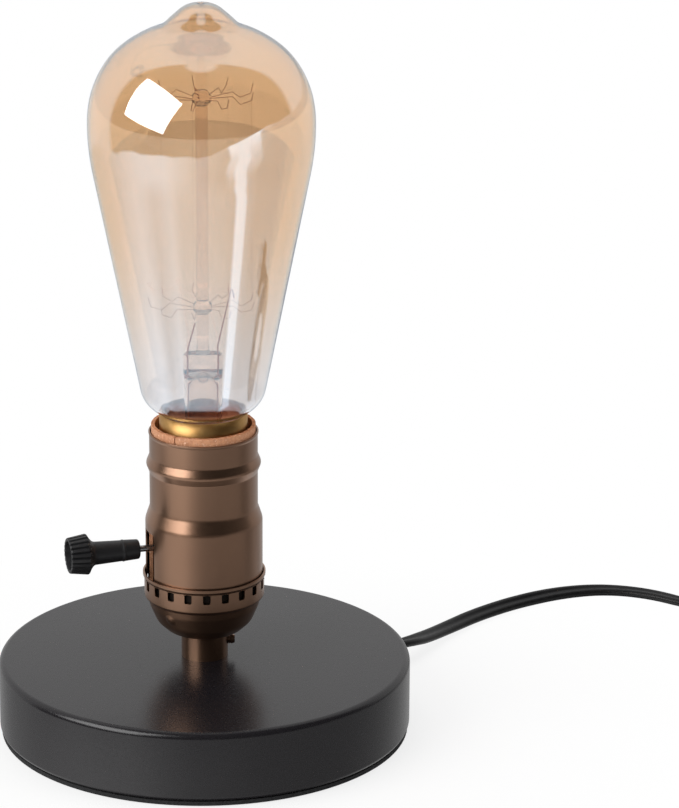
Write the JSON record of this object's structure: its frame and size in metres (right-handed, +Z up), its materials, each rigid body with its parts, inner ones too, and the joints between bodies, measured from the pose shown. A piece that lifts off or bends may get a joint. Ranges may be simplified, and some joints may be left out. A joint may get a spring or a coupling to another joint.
{
  "type": "bare bulb table lamp",
  "caption": "Small table lamp with a round weighted base, a turn-key screw-shell socket in antique bronze and a bare drop-shaped amber bulb, with a flat lead, coil and plug.",
  "frame": {"origin": "middle of the base's underside, on the surface that the lamp stands on", "axes": "+Z up along the bulb, -Y towards the viewer of the picture, -X to the key's side"},
  "size_m": [0.3041, 0.1633, 0.2163],
  "materials": {
    "powder_coated_steel": "matte black powder coat",
    "cast_iron": "raw cast",
    "foam_pad": "matte closed-cell foam",
    "zinc_steel": "zinc plated",
    "black_pvc": "soft black PVC",
    "antique_bronze": "satin antique bronze lacquer",
    "blackened_steel": "blackened",
    "fibre": "red-brown vulcanised fibre",
    "phenolic": "moulded black phenolic",
    "brass": "bright brass",
    "bright_steel": "bright drawn steel",
    "key_plastic": "moulded black plastic",
    "amber_glass": "amber tinted glass",
    "clear_glass": "clear glass",
    "black_glass": "black vitrite",
    "solder": "solder",
    "mount_wire": "drawn wire",
    "tie_plastic": "black tie"
  },
  "bodies": {
    "lamp": {"base_shell": "powder_coated_steel", "ballast_weight": "cast_iron", "base_pad": "foam_pad", "threaded_nipple": "zinc_steel", "nipple_locknut": "zinc_steel", "lock_washer": "zinc_steel", "terminal_screws": "zinc_steel", "cord_gland": "black_pvc", "base_lead": "black_pvc", "cord_lead": "black_pvc", "cord_coil": "black_pvc", "plug_relief": "black_pvc", "plug_body": "black_pvc", "lead_cores": "black_pvc", "cap_shell": "antique_bronze", "cap_bushing": "antique_bronze", "socket_shell": "antique_bronze", "cap_set_screw": "blackened_steel", "cap_liner": "fibre", "shell_liner": "fibre", "switch_base": "phenolic", "switch_top": "phenolic", "socket_screw_shell": "brass", "centre_contact_spring": "brass", "switch_rivets": "brass", "plug_blades": "brass", "cord_tie": "tie_plastic"},
    "key": {"key_knob": "key_plastic", "key_shaft": "bright_steel", "switch_rotor": "phenolic"},
    "bulb_rise": {"bulb_tip_contact": "solder"},
    "bulb": {"bulb_glass": "amber_glass", "bulb_screw_shell": "brass", "bulb_insulator": "black_glass", "bulb_flare": "clear_glass", "bulb_rod": "clear_glass", "upper_supports": "mount_wire", "lower_supports": "mount_wire", "bulb_filament": "mount_wire", "bulb_leads": "mount_wire"}
  },
  "joints": [
    {"name": "key_turn", "type": "hinge", "parent": "lamp", "child": "key", "pos_m": [0, 0, 0.0567], "axis": [-0.9659, -0.2588, 0], "continuous": true},
    {"name": "bulb_lift", "type": "slide", "parent": "lamp", "child": "bulb_rise", "axis": [0, 0, 1], "range_m": [0, 0.01633]},
    {"name": "bulb_screw", "type": "hinge", "parent": "bulb_rise", "child": "bulb", "pos_m": [0, 0, 0.07], "axis": [0, 0, 1], "range_deg": [0, 1620]}
  ],
  "couplings": [
    {"joint": "bulb_lift", "follows": "bulb_screw", "m_per_rad": 0.00057757}
  ]
}
